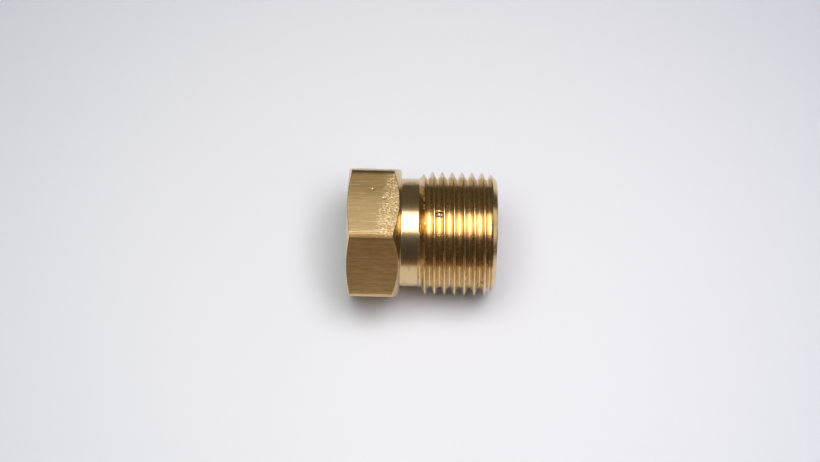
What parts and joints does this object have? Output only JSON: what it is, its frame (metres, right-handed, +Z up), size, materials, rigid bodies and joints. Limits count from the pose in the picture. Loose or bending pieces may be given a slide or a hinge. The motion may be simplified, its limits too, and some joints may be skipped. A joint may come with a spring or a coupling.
{
  "type": "brass bushing",
  "caption": "Hexagon-headed brass bushing with a plain neck, an outside parallel thread and a bore tapped right through.",
  "frame": {"origin": "on the axis, in the plane of the shoulder where the hexagon ends and the neck begins", "axes": "+X along the axis from the shoulder towards the threaded free end, +Z up out of the flat that faces upwards, +Y across two corners of the hexagon"},
  "size_m": [0.02, 0.0194, 0.017],
  "materials": {
    "brass": "bare brass: drawn flats with fine streaks along the axis, bright turned neck and thread"
  },
  "bodies": {
    "root": {"bushing": "brass"}
  },
  "joints": []
}
